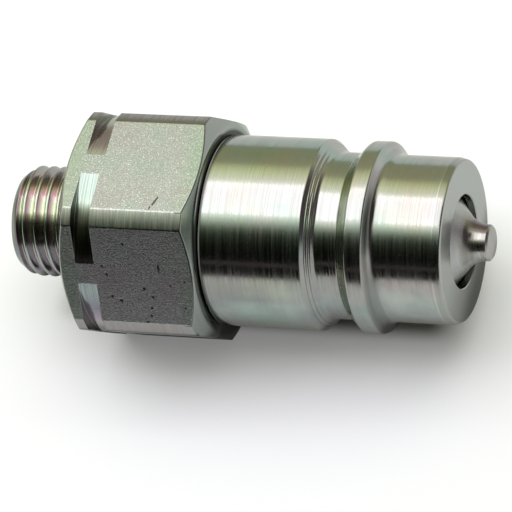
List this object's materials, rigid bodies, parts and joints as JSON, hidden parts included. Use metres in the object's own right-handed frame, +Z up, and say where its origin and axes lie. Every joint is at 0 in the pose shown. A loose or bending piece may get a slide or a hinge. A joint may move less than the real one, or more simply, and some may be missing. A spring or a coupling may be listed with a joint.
{
  "type": "hydraulic quick coupler nipple",
  "caption": "Turned steel male half of a hydraulic quick coupler: threaded stud, hexagon, barrel with a ball groove, and a nose whose sprung poppet opens when its pin is pushed in.",
  "frame": {"origin": "centre of the hexagon's rear face, where the threaded stud begins", "axes": "+X along the axis towards the nose, +Z up out of a hex flat, so that the opposite flat faces down"},
  "size_m": [0.0608, 0.03, 0.027],
  "materials": {
    "adapter_plated_steel": "zinc plated steel with a pale iridescent passivation, drawn hex flats grainy",
    "nipple_plated_steel": "zinc plated steel with a pale iridescent passivation, finely turned",
    "poppet_plated_steel": "zinc plated steel, satin",
    "spring_steel": "drawn spring wire",
    "guide_brass": "turned",
    "seal_rubber": "moulded nitrile, matte"
  },
  "bodies": {
    "body": {"nipple_body": "nipple_plated_steel", "hex_adapter": "adapter_plated_steel", "body_o_ring": "seal_rubber", "stem_guide": "guide_brass", "poppet_spring": "spring_steel"},
    "poppet": {"poppet": "poppet_plated_steel", "poppet_seal": "seal_rubber", "seal_washer": "poppet_plated_steel"}
  },
  "joints": [
    {"name": "poppet_slide", "type": "slide", "parent": "body", "child": "poppet", "axis": [-1, 0, 0], "range_m": [0, 0.005], "stiffness_N_per_m": 1500, "springref_m": -0.01, "deforming": ["poppet_spring"]}
  ]
}
